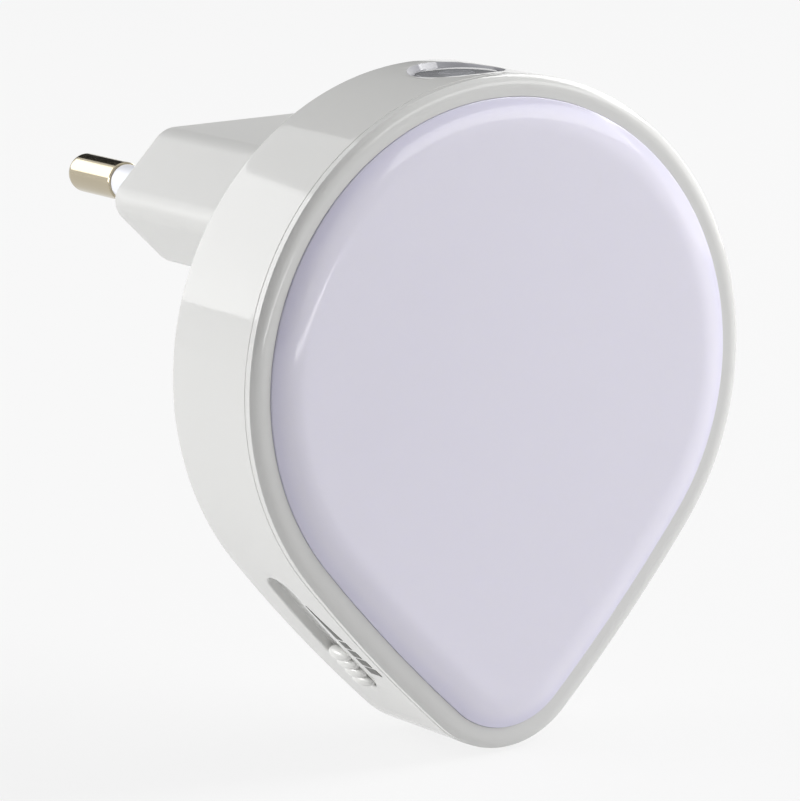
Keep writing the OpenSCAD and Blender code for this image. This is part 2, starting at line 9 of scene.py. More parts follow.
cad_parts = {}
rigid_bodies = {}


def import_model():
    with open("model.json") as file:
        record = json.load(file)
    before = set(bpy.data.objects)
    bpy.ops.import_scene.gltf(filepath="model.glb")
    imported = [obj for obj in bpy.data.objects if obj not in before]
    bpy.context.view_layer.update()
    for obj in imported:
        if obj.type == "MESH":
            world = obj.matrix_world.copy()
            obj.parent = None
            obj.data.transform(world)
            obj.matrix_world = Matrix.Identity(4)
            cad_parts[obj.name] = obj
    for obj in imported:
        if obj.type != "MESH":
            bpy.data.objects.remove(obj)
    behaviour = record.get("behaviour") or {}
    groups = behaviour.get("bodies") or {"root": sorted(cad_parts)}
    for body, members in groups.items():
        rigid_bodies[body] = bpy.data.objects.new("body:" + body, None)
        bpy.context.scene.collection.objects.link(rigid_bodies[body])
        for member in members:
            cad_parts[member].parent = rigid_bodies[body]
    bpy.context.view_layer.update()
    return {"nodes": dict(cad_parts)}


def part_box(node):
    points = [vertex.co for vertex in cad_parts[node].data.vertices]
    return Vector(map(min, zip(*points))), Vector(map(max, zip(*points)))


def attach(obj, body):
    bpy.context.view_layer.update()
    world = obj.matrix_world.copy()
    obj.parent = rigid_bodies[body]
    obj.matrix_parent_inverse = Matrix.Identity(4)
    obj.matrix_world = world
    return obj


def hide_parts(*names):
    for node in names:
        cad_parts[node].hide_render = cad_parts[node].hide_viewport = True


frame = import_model()
mm = 0.001
print("frame loaded:", len(frame["nodes"]), "nodes")

# Sizes that several pieces share, in millimetres
body = {
    "topRadius": 28.4, "tipRadius": 10.2, "tipDrop": 26.8, "flankRadius": 167.0,
    "centreDrop": 12.7, "backAt": -29.2, "backWall": 2.0, "sideWall": 1.6,
    "rimDepth": 12.8, "sensorDepth": 6.9,
    "columnStep": 0.9, "tightRadius": 20.0, "tightStep": 0.54,
}
mergeWithin = 0.0015  # points closer than this are one, in millimetres
sharpAngle = 38  # edges sharper than this stay hard, in degrees


# The outline runs anticlockwise seen from the front: tip, right flank, round top, left flank, tip
def makeOutline(size):
    spread = size["flankRadius"] - size["topRadius"]
    drop = size["tipDrop"]
    low = size["flankRadius"] - size["tipRadius"]
    upper = math.asin((spread ** 2 + drop ** 2 - low ** 2) / (2 * drop * spread))
    cx, cz = -spread * math.cos(upper), -spread * math.sin(upper)
    lower = math.atan2(-drop - cz, -cx)
    half = math.pi
    return [
        (0, -drop, size["tipRadius"], -half / 2, lower),
        (cx, cz, size["flankRadius"], lower, upper),
        (0, 0, size["topRadius"], upper, half - upper),
        (-cx, cz, size["flankRadius"], half - upper, half - lower),
        (0, -drop, size["tipRadius"], half - lower, 1.5 * half),
    ]


arcs = makeOutline(body)
arcStarts = [0.0]
for cx, cz, r, a0, a1 in arcs:
    arcStarts.append(arcStarts[-1] + r * (a1 - a0))
around = arcStarts[-1]
leftFlankTop = arcStarts[3]
leftFlankEnd = arcStarts[4]
topMiddle = (arcStarts[2] + arcStarts[3]) / 2


# A point from its distance along the outline, its depth from the back and its lift off the wall
def onBody(s, depth, lift=0.0):
    s = min(max(s, 0.0), around)
    i = max(k for k in range(len(arcs)) if arcStarts[k] <= s + 1e-9)
    cx, cz, r, a0, a1 = arcs[i]
    a = a0 + (s - arcStarts[i]) / r
    return (cx + (r + lift) * math.cos(a), body["backAt"] - depth,
            cz + (r + lift) * math.sin(a) - body["centreDrop"])


def onWall(loop, lift=0.0):
    return [onBody(s, depth, lift) for s, depth in loop]


def columnPlaces():
    places = []
    for i, (cx, cz, r, a0, a1) in enumerate(arcs):
        length = r * (a1 - a0)
        step = body["tightStep"] if r < body["tightRadius"] else body["columnStep"]
        n = max(4, round(length / step))
        places += [arcStarts[i] + length * k / n for k in range(n)]
    return places


columns = columnPlaces()


def bodyRing(inset, depth):
    return [onBody(s, depth, -inset) for s in columns]


# Collects points and faces of a closed shape, in millimetres, and makes the mesh
class Shell:
    def __init__(self):
        self.points = []
        self.faces = []

    def ring(self, points):
        first = len(self.points)
        self.points += [tuple(p) for p in points]
        return list(range(first, len(self.points)))

    def band(self, a, b):
        n = len(a)
        self.faces += [(a[i], a[(i + 1) % n], b[(i + 1) % n], b[i]) for i in range(n)]

    def stack(self, rings):
        made = [self.ring(r) for r in rings]
        for a, b in zip(made, made[1:]):
            self.band(a, b)
        return made

    def fan(self, ringIds, centre):
        c = self.ring([centre])[0]
        n = len(ringIds)
        self.faces += [(ringIds[i], ringIds[(i + 1) % n], c) for i in range(n)]

    # Fills a flat region: outer and hole loops are lists of (u, v), place turns (u, v) into a point
    def patch(self, outer, holes, place, inner=()):
        flat = []
        edges = []
        for loop in [outer, *holes]:
            first = len(flat)
            n = len(loop)
            flat += [Vector(p) for p in loop]
            edges += [(first + i, first + (i + 1) % n) for i in range(n)]
        flat += [Vector(p) for p in inner]
        made, _, tris, *_ = delaunay_2d_cdt(flat, edges, [], 0, 1e-7)
        ids = self.ring([place(p.x, p.y) for p in made])
        for t in tris:
            u = sum(made[k].x for k in t) / len(t)
            v = sum(made[k].y for k in t) / len(t)
            if inside(u, v, outer) and not any(inside(u, v, h) for h in holes):
                self.faces.append(tuple(ids[k] for k in t))

    def build(self, name):
        bm = bmesh.new()
        made = [bm.verts.new([c * mm for c in p]) for p in self.points]
        for f in self.faces:
            bm.faces.new([made[i] for i in f])
        bmesh.ops.remove_doubles(bm, verts=bm.verts, dist=mergeWithin * mm)
        bmesh.ops.dissolve_degenerate(bm, edges=bm.edges, dist=mergeWithin * mm / 3)
        bmesh.ops.recalc_face_normals(bm, faces=bm.faces)
        openEdges = sum(1 for e in bm.edges if not e.is_manifold)
        data = bpy.data.meshes.new(name)
        bm.to_mesh(data)
        bm.free()
        print(" ", name, len(data.polygons), "faces, open edges", openEdges)
        return smoothed(data)


def inside(u, v, loop):
    found = False
    n = len(loop)
    for i in range(n):
        (x1, y1), (x2, y2) = loop[i], loop[(i + 1) % n]
        if (y1 > v) != (y2 > v) and u < (x2 - x1) * (v - y1) / (y2 - y1) + x1:
            found = not found
    return found


def smoothed(data):
    for p in data.polygons:
        p.use_smooth = True
    data.set_sharp_from_angle(angle=math.radians(sharpAngle))
    return data


# Joins points that coincide and turns all faces outwards, on a mesh that is in metres
def facedOut(data):
    bm = bmesh.new()
    bm.from_mesh(data)
    bmesh.ops.remove_doubles(bm, verts=bm.verts, dist=mm / 1000)
    bmesh.ops.recalc_face_normals(bm, faces=bm.faces)
    bm.to_mesh(data)
    bm.free()
    return data


def placed(name, data):
    obj = bpy.data.objects.new(name, data)
    bpy.context.scene.collection.objects.link(obj)
    return obj


def bakeModifiers(obj):
    view = bpy.context.evaluated_depsgraph_get()
    view.update()
    made = bpy.data.meshes.new_from_object(obj.evaluated_get(view))
    obj.modifiers.clear()
    made.name = obj.name
    obj.data = made
    return obj


# Area weighted normals keep flat faces beside roundings flat
def evenNormals(obj):
    mod = obj.modifiers.new("weights", "WEIGHTED_NORMAL")
    mod.keep_sharp = True
    return bakeModifiers(obj)


def asObject(data):
    return evenNormals(placed(data.name, data))


def dress(obj, bodyName, slot, material, *nodes):
    obj.data.materials.clear()
    obj.data.materials.append(material)
    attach(obj, bodyName)
    if nodes:
        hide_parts(*nodes)


# Ring profile steps that round a corner: (share across, share along) from 0,0 to 1,1
def quarter(steps):
    angles = [math.pi / 2 * k / steps for k in range(steps + 1)]
    return [(1 - math.cos(a), math.sin(a)) for a in angles]


def circleLoop(u, v, r, n=48):
    return [(u + r * math.cos(2 * math.pi * k / n), v + r * math.sin(2 * math.pi * k / n)) for k in range(n)]


# Stadium around (u, v): straight along u, half round ends
def stadiumLoop(u, v, length, width, straight=24, turn=14):
    r = width / 2
    reach = length / 2 - r
    loop = [(u - reach + 2 * reach * k / straight, v - r) for k in range(straight)]
    loop += [(u + reach + r * math.sin(math.pi * k / turn), v - r * math.cos(math.pi * k / turn))
             for k in range(turn)]
    loop += [(u + reach - 2 * reach * k / straight, v + r) for k in range(straight)]
    loop += [(u - reach - r * math.sin(math.pi * k / turn), v + r * math.cos(math.pi * k / turn))
             for k in range(turn)]
    return loop


def boxLoop(u, v, length, width, steps=14):
    a, b = length / 2, width / 2
    loop = [(u - a + 2 * a * k / steps, v - b) for k in range(steps)]
    loop += [(u + a, v - b), (u + a, v)]
    loop += [(u + a - 2 * a * k / steps, v + b) for k in range(steps)]
    loop += [(u - a, v + b), (u - a, v)]
    return loop


# Shader building: a wrapped socket that can be reckoned with, and a material under construction
class Wire:
    def __init__(self, paint, socket):
        self.paint = paint
        self.socket = socket

    def maths(self, operation, other, swap=False):
        values = [other, self] if swap else [self, other]
        return self.paint.put("ShaderNodeMath", {"operation": operation}, {0: values[0], 1: values[1]})

    def __add__(self, other):
        return self.maths("ADD", other)

    __radd__ = __add__

    def __mul__(self, other):
        return self.maths("MULTIPLY", other)

    __rmul__ = __mul__

    def __sub__(self, other):
        return self.maths("SUBTRACT", other)

    def __rsub__(self, other):
        return self.maths("SUBTRACT", other, True)

    # A value from 0 to 1 as a swing round zero, this wide
    def swing(self, width):
        return (self - 0.5) * width


class Paint:
    def __init__(self, name, made=None):
        self.material = made or bpy.data.materials.new(name)
        self.material.use_nodes = True
        self.tree = self.material.node_tree
        self.tree.nodes.clear()

    # Any node: its type, its settings first, then the values or links of its sockets
    def put(self, kind, settings=None, values=None, out=0):
        node = self.tree.nodes.new(kind)
        for key, value in (settings or {}).items():
            setattr(node, key, value)
        for key, value in (values or {}).items():
            socket = node.inputs[key]
            if isinstance(value, Wire):
                self.tree.links.new(value.socket, socket)
            else:
                socket.default_value = value
        return Wire(self, node.outputs[out]) if len(node.outputs) else None

    def place(self):
        return self.put("ShaderNodeTexCoord", out="Object")

    def along(self, axis):
        return self.put("ShaderNodeSeparateXYZ", {}, {0: self.place()}, out=axis)

    def noise(self, scale, detail=3.0, rough=0.5, where=None):
        return self.put("ShaderNodeTexNoise", {}, {
            "Vector": where or self.place(), "Scale": scale, "Detail": detail, "Roughness": rough})

    def stretched(self, x, y, z):
        return self.put("ShaderNodeMapping", {}, {"Vector": self.place(), "Scale": (x, y, z)})

    # From one value at the start to another at the end, by default from 0 to 1
    def ramp(self, value, start, end, first=0.0, last=1.0, kind="LINEAR"):
        return self.put("ShaderNodeMapRange", {"interpolation_type": kind}, {
            "Value": value, "From Min": start, "From Max": end, "To Min": first, "To Max": last})

    # Between two colours, each written out or made by other nodes
    def shade(self, amount, low, high):
        low, high = (c if isinstance(c, Wire) else (*c, 1) for c in (low, high))
        return self.put("ShaderNodeMix", {"data_type": "RGBA"}, {"Factor": amount, 6: low, 7: high}, out=2)

    def bump(self, height, strength, reach):
        return self.put("ShaderNodeBump", {}, {"Height": height, "Strength": strength, "Distance": reach})

    # 1 for the rays that show the background: straight, mirrored and through clear parts
    def seenRays(self):
        kinds = [self.put("ShaderNodeLightPath", out=kind)
                 for kind in ("Is Camera Ray", "Is Glossy Ray", "Is Transmission Ray")]
        return self.put("ShaderNodeMath", {"operation": "ADD", "use_clamp": True}, {
            0: kinds[0] + kinds[1], 1: kinds[2]})

    def finish(self, values):
        shader = self.put("ShaderNodeBsdfPrincipled", {}, values)
        self.put("ShaderNodeOutputMaterial", {}, {"Surface": shader})
        return self.material


def linear(rgb):
    return tuple((c / 12.92) if c <= 0.04045 else ((c + 0.055) / 1.055) ** 2.4 for c in rgb)


def lighter(rgb, amount):
    return tuple(min(1.0, c * amount) for c in rgb)


# Moulded plastic: faint flow clouds in its colour, a fine skin in its gloss and surface
def mouldedPlastic(name, rgb, rough=0.3, grain=2200.0, depth=0.000008, cloud=0.985):
    paint = Paint(name)
    base = linear(rgb)
    flow = paint.noise(60.0, 2.0)
    skin = paint.noise(grain, 3.0)
    return paint.finish({
        "Base Color": paint.shade(flow, lighter(base, cloud), base),
        "Roughness": rough + skin.swing(0.06) + flow.swing(0.04),
        "IOR": 1.5,
        "Normal": paint.bump(skin, 0.3, depth),
    })


# The plug's satin finish and its painted shade, a darker colour, set in between plugFrom and plugTo, in
# millimetres behind the back wall's face
shellFinish = {
    "white": (0.865, 0.865, 0.857), "cloud": 0.985, "plug": 0.91, "sinkShade": (0.66, 0.66, 0.68),
    "polished": 0.06, "duller": 0.28, "flowScale": 60.0, "skinScale": 2600.0,
    "plugFrom": -0.1, "plugTo": 0.4,
    # The grey round the sensor's axis is painted shade: it dims the lit side of the countersink, in the grey
    # of the clear lens's rim
    "sinkShadeTo": 4.72, "sinkShadeFade": 0.08,  # radius round the sensor's axis, in millimetres
}


# White shell: polished round the front, satin on the plug with painted shade that darkens its colour, grey
# painted shade in the countersink of the sensor
def shellPlastic(name):
    f = shellFinish
    paint = Paint(name)
    white = linear(f["white"])
    flow = paint.noise(f["flowScale"], 2.0)
    skin = paint.noise(f["skinScale"], 3.0)
    x, y, z = (paint.along(axis) for axis in "XYZ")
    behind = paint.ramp(y, (body["backAt"] + f["plugFrom"]) * mm, (body["backAt"] + f["plugTo"]) * mm)
    # mask of the painted shade in the countersink: 0 inside the radius round the sensor's axis, 1 outside
    off = y - (body["backAt"] - body["sensorDepth"]) * mm
    sinkShadeEnd = f["sinkShadeTo"] + f["sinkShadeFade"]
    outside = paint.ramp(x * x + off * off, (f["sinkShadeTo"] * mm) ** 2, (sinkShadeEnd * mm) ** 2)
    below = paint.ramp(z, 0.0, mm, 1.0, 0.0)  # the sensor is in the upper half only
    front = paint.shade(flow, lighter(white, f["cloud"]), white)
    # painted shade: the plug's colour made darker than the front
    colourWithPlugShade = paint.shade(behind, front, lighter(white, f["plug"]))
    return paint.finish({
        # grey painted shade over the countersink of the sensor, on the upper half only
        "Base Color": paint.shade(outside.maths("MAXIMUM", below), linear(f["sinkShade"]), colourWithPlugShade),
        "Roughness": f["polished"] + behind * f["duller"] + skin.swing(0.03) + flow.swing(0.02),
        "IOR": 1.5,
        "Normal": paint.bump(skin, 0.2, 0.000004),
    })


# The painted shade, from the darker edge colour to the crown colour, changes between the depths low and high
opalFinish = {
    "edge": (0.872, 0.862, 0.938), "crown": (0.916, 0.906, 0.958), "low": 14.2, "high": 14.8,
    "rough": 0.08, "glow": 0.25, "glowReach": (0.0012, 0.0012, 0.0014),
}


# Opal plastic: violet white, with painted shade that makes it darker where the edge falls away from the crown
def opalPlastic(name):
    f = opalFinish
    paint = Paint(name)
    haze = paint.noise(35.0, 2.0)
    crown = paint.ramp(paint.along("Y"), (body["backAt"] - f["low"]) * mm, (body["backAt"] - f["high"]) * mm,
                       kind="SMOOTHSTEP")
    skin = paint.noise(900.0, 3.0)
    return paint.finish({
        # painted shade: the edge colour darkens the rounding that falls away from the crown
        "Base Color": paint.shade(crown * (0.94 + haze * 0.12), linear(f["edge"]), linear(f["crown"])),
        "Roughness": f["rough"] + skin.swing(0.02),
        "Subsurface Weight": f["glow"],
        "Subsurface Radius": f["glowReach"],
        "Subsurface Scale": 1.0,
        "IOR": 1.5,
        "Normal": paint.bump(skin, 0.12, 0.000004),
    })


# Metal with fine turning or drawing marks
def workedMetal(name, rgb, rough=0.2):
    paint = Paint(name)
    base = linear(rgb)
    lines = paint.noise(1.0, 4.0, 0.6, paint.stretched(4000.0, 250.0, 4000.0))
    tarnish = paint.noise(180.0, 3.0)
    return paint.finish({
        "Base Color": paint.shade(tarnish, lighter(base, 0.9), base),
        "Metallic": 1.0,
        "Roughness": rough + lines.swing(0.14) + tarnish.swing(0.08),
        "Normal": paint.bump(lines, 0.35, 0.000006),
    })


# Solder mask over glass weave, with a little unevenness where tracks run under it
def maskedBoard(name, rgb, trackRgb):
    paint = Paint(name)
    tracks = paint.put("ShaderNodeTexVoronoi", {"feature": "DISTANCE_TO_EDGE"}, {
        "Vector": paint.place(), "Scale": 260.0})
    edge = paint.ramp(tracks, 0.02, 0.09)
    weave = paint.noise(3200.0, 2.0)
    return paint.finish({
        "Base Color": paint.shade(edge, linear(trackRgb), linear(rgb)),
        "Roughness": 0.32 + weave * 0.1,
        "Normal": paint.bump(edge * 0.6 + weave * 0.4, 0.35, 0.00002),
    })


def clearLens(name):
    paint = Paint(name)
    skin = paint.noise(700.0, 2.0)
    return paint.finish({
        "Base Color": paint.shade(skin, (0.68, 0.69, 0.72), (0.78, 0.79, 0.82)),
        "Roughness": 0.03 + skin * 0.03,
        "Transmission Weight": 0.6,
        "Specular IOR Level": 0.35,
        "IOR": 1.49,
        "Normal": paint.bump(skin, 0.1, 0.000004),
    })


print("materials")
looks = {
    "shell": shellPlastic("whiteShell"),
    "opal": opalPlastic("opalFront"),
    "reflector": mouldedPlastic("reflectorWhite", (0.94, 0.94, 0.93), rough=0.45),
    "white_board": maskedBoard("whiteMask", (0.9, 0.9, 0.88), (0.8, 0.8, 0.78)),
    "led": mouldedPlastic("ledPhosphor", (0.93, 0.86, 0.5), rough=0.4, grain=5000.0),
    "steel": workedMetal("screwSteel", (0.72, 0.72, 0.72), rough=0.28),
    "clear": clearLens("sensorLens"),
    "black": mouldedPlastic("blackShroud", (0.1, 0.1, 0.105), rough=0.5, cloud=0.8),
    "cell": mouldedPlastic("photocellEpoxy", (0.32, 0.34, 0.38), rough=0.15, cloud=0.8),
    "tin": workedMetal("tinnedLeads", (0.78, 0.78, 0.77), rough=0.3),
    "green_board": maskedBoard("greenMask", (0.07, 0.36, 0.2), (0.12, 0.5, 0.28)),
    "chip": mouldedPlastic("chipEpoxy", (0.13, 0.13, 0.135), rough=0.55, grain=4500.0, depth=0.00002,
                           cloud=0.8),
    "resistor": mouldedPlastic("resistorLacquer", (0.55, 0.7, 0.8), rough=0.35, cloud=0.9),
    "film": mouldedPlastic("filmCapacitorBox", (0.8, 0.6, 0.15), rough=0.35, cloud=0.93),
    "can": mouldedPlastic("capacitorSleeve", (0.1, 0.13, 0.3), rough=0.25, cloud=0.85),
    "nickel": workedMetal("nickelPin", (0.75, 0.71, 0.62), rough=0.12),
    "sleeve": mouldedPlastic("pinSleeve", (0.955, 0.96, 0.985), rough=0.24),
    "retainer": mouldedPlastic("retainerPlastic", (0.3, 0.3, 0.3), rough=0.5, cloud=0.9),
    "brown_wire": mouldedPlastic("brownInsulation", (0.4, 0.22, 0.12), rough=0.35, cloud=0.9),
    "blue_wire": mouldedPlastic("blueInsulation", (0.13, 0.3, 0.65), rough=0.35, cloud=0.9),
    "case_steel": workedMetal("potentiometerCase", (0.75, 0.75, 0.74), rough=0.25),
    "track": mouldedPlastic("trackPhenolic", (0.36, 0.22, 0.12), rough=0.5, cloud=0.85),
    "contact": workedMetal("wiperBronze", (0.8, 0.58, 0.3), rough=0.25),
    "carrier": mouldedPlastic("carrierNylon", (0.9, 0.89, 0.84), rough=0.4),
    "knob": mouldedPlastic("knobPlastic", (0.9, 0.9, 0.89), rough=0.26),
}
ink = mouldedPlastic("dimmerInk", (0.37, 0.37, 0.36), rough=0.45, grain=6000.0, cloud=0.9)

# Rear housing: wall, back and plug in one moulding
housing = {
    "rearRounding": 0.35, "rimRounding": 0.03, "rimInner": 0.1,
    "sensorRim": 4.8, "sensorBore": 4.05, "sensorSink": 0.8, "rimSoft": 0.015, "rimDrop": 0.02,
    "boreSoft": 0.06, "boreDrop": 0.04,
    "slotUp": 13.1, "slotDepth": 6.2, "slotLength": 16.4, "slotWidth": 4.0, "slotSink": 0.9, "slotLip": 0.22,
    "slotFillet": 0.12, "slitLength": 12.8, "slitWidth": 1.6,
    "plugWidth": 33.4, "plugHeight": 13.7, "plugCorner": 5.9, "plugWall": 1.8, "plugEnd": 2.5,
    "cornerRound": 3.0, "innerRound": 1.2, "plugEdge": 0.35, "plugRoot": 0.35, "plugStraight": (2.0, 1.0),
    "pinGap": 18.6, "boreRadius": 1.85,
    "bossRadius": 2.5, "bossInset": 6.3, "bossAngle": 30, "bossFoot": 1.2, "bossTop": 9.2, "screwBore": 1.0,
    "outerRows": 13, "innerRows": 11, "clearOfHoles": 0.42,
}
slotMiddle = leftFlankEnd - housing["slotUp"]


# Circle drawn on a plane across the top wall, as (distance along the outline, depth)
def sensorLoop(r, radius):
    return [(topMiddle - body["topRadius"] * math.asin(x / radius), depth)
            for x, depth in circleLoop(0, body["sensorDepth"], r)]


# Sensor hole: countersink outside, bore through the wall; gives its loops on both sides of the wall
def cutSensorHole(shell):
    h = housing
    wall = body["sideWall"]
    back = body["backAt"]
    outer = sensorLoop(h["sensorRim"], body["topRadius"])
    inner = sensorLoop(h["sensorBore"], body["topRadius"] - wall)
    sunk = body["topRadius"] - h["sensorSink"] - body["centreDrop"]

    def level(r, height):
        return [(x, back - depth, height) for x, depth in circleLoop(0, body["sensorDepth"], r)]

    rim = onWall(outer)
    soft = [(x * (1 - h["rimSoft"]), y + (back - body["sensorDepth"] - y) * h["rimSoft"], z - h["rimDrop"])
            for x, y, z in rim]
    shell.stack([rim, soft, level(h["sensorBore"] + h["boreSoft"], sunk + h["boreDrop"]),
                 level(h["sensorBore"], sunk - h["boreDrop"]), onWall(inner, -wall)])
    return outer, inner


# Slot: rounded lip, straight sides, floor with the lever's slit; gives the slot's and the slit's loop
def cutSlot(shell):
    h = housing
    lip, sink, fillet = h["slotLip"], h["slotSink"], h["slotFillet"]

    def opening(shrink):
        length, width = h["slotLength"] - 2 * shrink, h["slotWidth"] - 2 * shrink
        return stadiumLoop(slotMiddle, h["slotDepth"], length, width)

    shell.stack([onWall(opening(-lip * (1 - along)), -lip * across) for across, along in quarter(4)]
                + [onWall(opening(0), fillet - sink), onWall(opening(fillet / 3), fillet / 3 - sink),
                   onWall(opening(fillet), -sink)])
    slit = boxLoop(slotMiddle, h["slotDepth"], h["slitLength"], h["slitWidth"])
    shell.patch(opening(fillet), [slit], lambda s, depth: onBody(s, depth, -sink))
    shell.stack([onWall(slit, -sink), onWall(slit, -body["sideWall"])])
    return opening(-lip), slit


# Side wall surface between two depths, with holes, at a lift from the outline
def wallPatch(shell, low, high, rows, lift, holes):
    outer = [(s, low) for s in columns] + [(around, low)]
    outer += [(around, low + (high - low) * k / rows) for k in range(1, rows)]
    outer += [(around, high)] + [(s, high) for s in reversed(columns)]
    outer += [(0, high - (high - low) * k / rows) for k in range(1, rows)]
    clear = housing["clearOfHoles"] ** 2

    def free(s, depth):
        return not any(inside(s, depth, hole) or any((s - a) ** 2 + (depth - b) ** 2 < clear for a, b in hole)
                       for hole in holes)

    depths = [low + (high - low) * k / rows for k in range(1, rows)]
    inner = [(s, depth) for depth in depths for s in columns[1:] if free(s, depth)]
    shell.patch(outer, holes, lambda s, depth: onBody(s, depth, lift), inner)


# Outer and inner wall, the rounded rear edge and the front rim
def raiseWalls(shell, outerHoles, innerHoles):
    h = housing
    wall, rim = body["sideWall"], body["rimDepth"]
    rear, front, e = h["rearRounding"], h["rimRounding"], h["rimInner"]
    wallPatch(shell, rear, rim - front, h["outerRows"], 0, outerHoles)
    wallPatch(shell, body["backWall"], rim - e, h["innerRows"], -wall, innerHoles)
    shell.stack([bodyRing(rear * across, rear * (1 - along)) for across, along in quarter(6)])
    shell.stack([bodyRing(front * across, rim - front + front * along) for across, along in quarter(3)]
                + [bodyRing(wall - e, rim), bodyRing(wall, rim - e)])


# The corners beside the two narrow sides get as much rounding as those sides can hold
def plugLoop(inset, rounding, turn=6):
    w = housing["plugWidth"] / 2 - inset
    h = housing["plugHeight"] / 2 - inset
    c = housing["plugCorner"] - inset * (2 - math.sqrt(2))
    corners = [(w, c - h), (w, h - c), (w - c, h), (c - w, h),
               (-w, h - c), (-w, c - h), (c - w, -h), (w - c, -h)]
    half = math.radians(22.5)  # half the turn at a corner
    narrow = min(rounding, 0.9 * (h - c) / math.tan(half))
    loop = []
    for i, corner in enumerate(corners):
        p = Vector(corner)
        before = (Vector(corners[i - 1]) - p).normalized()
        after = (Vector(corners[(i + 1) % 8]) - p).normalized()
        r = narrow if i % 4 < 2 else rounding
        leg = r * math.tan(half)
        start, end = p + before * leg, p + after * leg
        middle = p + (before + after).normalized() * (r / math.cos(half))
        first = math.atan2(*(start - middle).yx)
        sweep = math.remainder(math.atan2(*(end - middle).yx) - first, 2 * math.pi)
        for k in range(turn + 1):
            a = first + sweep * k / turn
            loop.append((middle.x + r * math.cos(a), middle.y + r * math.sin(a)))
    return loop


# A loop of (x, z) as a ring at one y
def upright(loop, y):
    return [(x, y, z) for x, z in loop]


# A flat region of (x, z) at one y
def plate(shell, y, outer, holes):
    shell.patch(outer, holes, lambda x, z: (x, y, z))


# Back plate round the plug, with a small root fillet, then the plug body, its end and its hollow
def growPlug(shell):
    h = housing
    back = body["backAt"]
    root, edge, floor = h["plugRoot"], h["plugEdge"], -h["plugEnd"]

    def outside(inset, y):
        return upright(plugLoop(inset, h["cornerRound"]), y)

    behind, ahead = h["plugStraight"]
    outline = [(x, z) for x, y, z in bodyRing(h["rearRounding"], 0)]
    plate(shell, back, outline, [plugLoop(-root, h["cornerRound"])])
    shell.stack([outside(-root * (1 - along), back + root * across) for across, along in quarter(4)]
                + [outside(0, back + behind), outside(0, -edge - ahead)]
                + [outside(edge * across, -edge * (1 - along)) for across, along in quarter(5)])
    bores = [circleLoop(side * h["pinGap"] / 2, 0, h["boreRadius"], 40) for side in (-1, 1)]
    plate(shell, 0, plugLoop(edge, h["cornerRound"]), bores)
    for loop in bores:
        shell.stack([upright(loop, 0), upright(loop, floor)])
    inner = plugLoop(h["plugWall"], h["innerRound"])
    plate(shell, floor, inner, bores)
    within = back - body["backWall"]
    shell.stack([upright(inner, floor), upright(inner, within)])
    plate(shell, within, [(x, z) for x, y, z in bodyRing(body["sideWall"], body["backWall"])], [inner])


# Screw bosses, each a tube that stands in the back wall
def addBosses(shell):
    h = housing
    outer, bore, foot, top = h["bossRadius"], h["screwBore"], h["bossFoot"], h["bossTop"]
    profile = [(outer, foot), (outer, top), (bore, top), (bore, foot), (outer, foot)]
    reach = body["topRadius"] - h["bossInset"]
    a = math.radians(h["bossAngle"])
    across, up = reach * math.cos(a), reach * math.sin(a)
    low = h["bossInset"] - body["tipDrop"] - body["tipRadius"]
    for x, z in [(-across, up), (across, up), (0, low)]:
        shell.stack([upright(circleLoop(x, z - body["centreDrop"], r, 32), body["backAt"] - depth)
                     for r, depth in profile])


def makeHousing():
    shell = Shell()
    outerSensor, innerSensor = cutSensorHole(shell)
    slot, slit = cutSlot(shell)
    raiseWalls(shell, [outerSensor, slot], [innerSensor, slit])
    growPlug(shell)
    addBosses(shell)
    return shell.build("rearHousing")


print("housing")
dress(asObject(makeHousing()), "lamp", "shell", looks["shell"], "rear_housing")

# Bezel ring: one closed profile swept along the outline
bezel = {
    "step": 0.04, "edge": 2.1, "shelf": 4.0, "shelfBack": 12.0, "lipBack": 12.8, "front": 14.0,
    "skirt": 1.75, "skirtWall": 0.9, "skirtEnd": 10.4,
    "roundFrom": 38, "roundAcross": 1.3, "roundAlong": 1.1, "roundSteps": 9, "innerRound": 0.05,
}


def bezelProfile():
    b = bezel
    points = [(b["skirt"], b["lipBack"]), (b["step"], b["lipBack"])]
    # the outer rounding sets off at an angle to the wall, so that the lip shows as a band of its own
    first = math.radians(b["roundFrom"])
    for k in range(b["roundSteps"] + 1):
        a = first + (math.pi / 2 - first) * k / b["roundSteps"]
        across = b["roundAcross"] * (1 - math.cos(a) / math.cos(first))
        along = b["roundAlong"] * (1 - math.sin(a))
        points.append((b["step"] + across, b["front"] - along))
    r = b["innerRound"]
    points += [(b["edge"] - r * (1 - along), b["front"] - r * across) for across, along in quarter(4)]
    points += [(b["edge"], b["lipBack"]), (b["shelf"], b["lipBack"]), (b["shelf"], b["shelfBack"]),
               (b["skirt"] + b["skirtWall"], b["shelfBack"]), (b["skirt"] + b["skirtWall"], b["skirtEnd"]),
               (b["skirt"], b["skirtEnd"])]
    return points


# A closed line of points as a mesh with edges only
def lineMesh(name, points):
    data = bpy.data.meshes.new(name)
    n = len(points)
    data.from_pydata(points, [(i, (i + 1) % n) for i in range(n)], [])
    return placed(name, data)


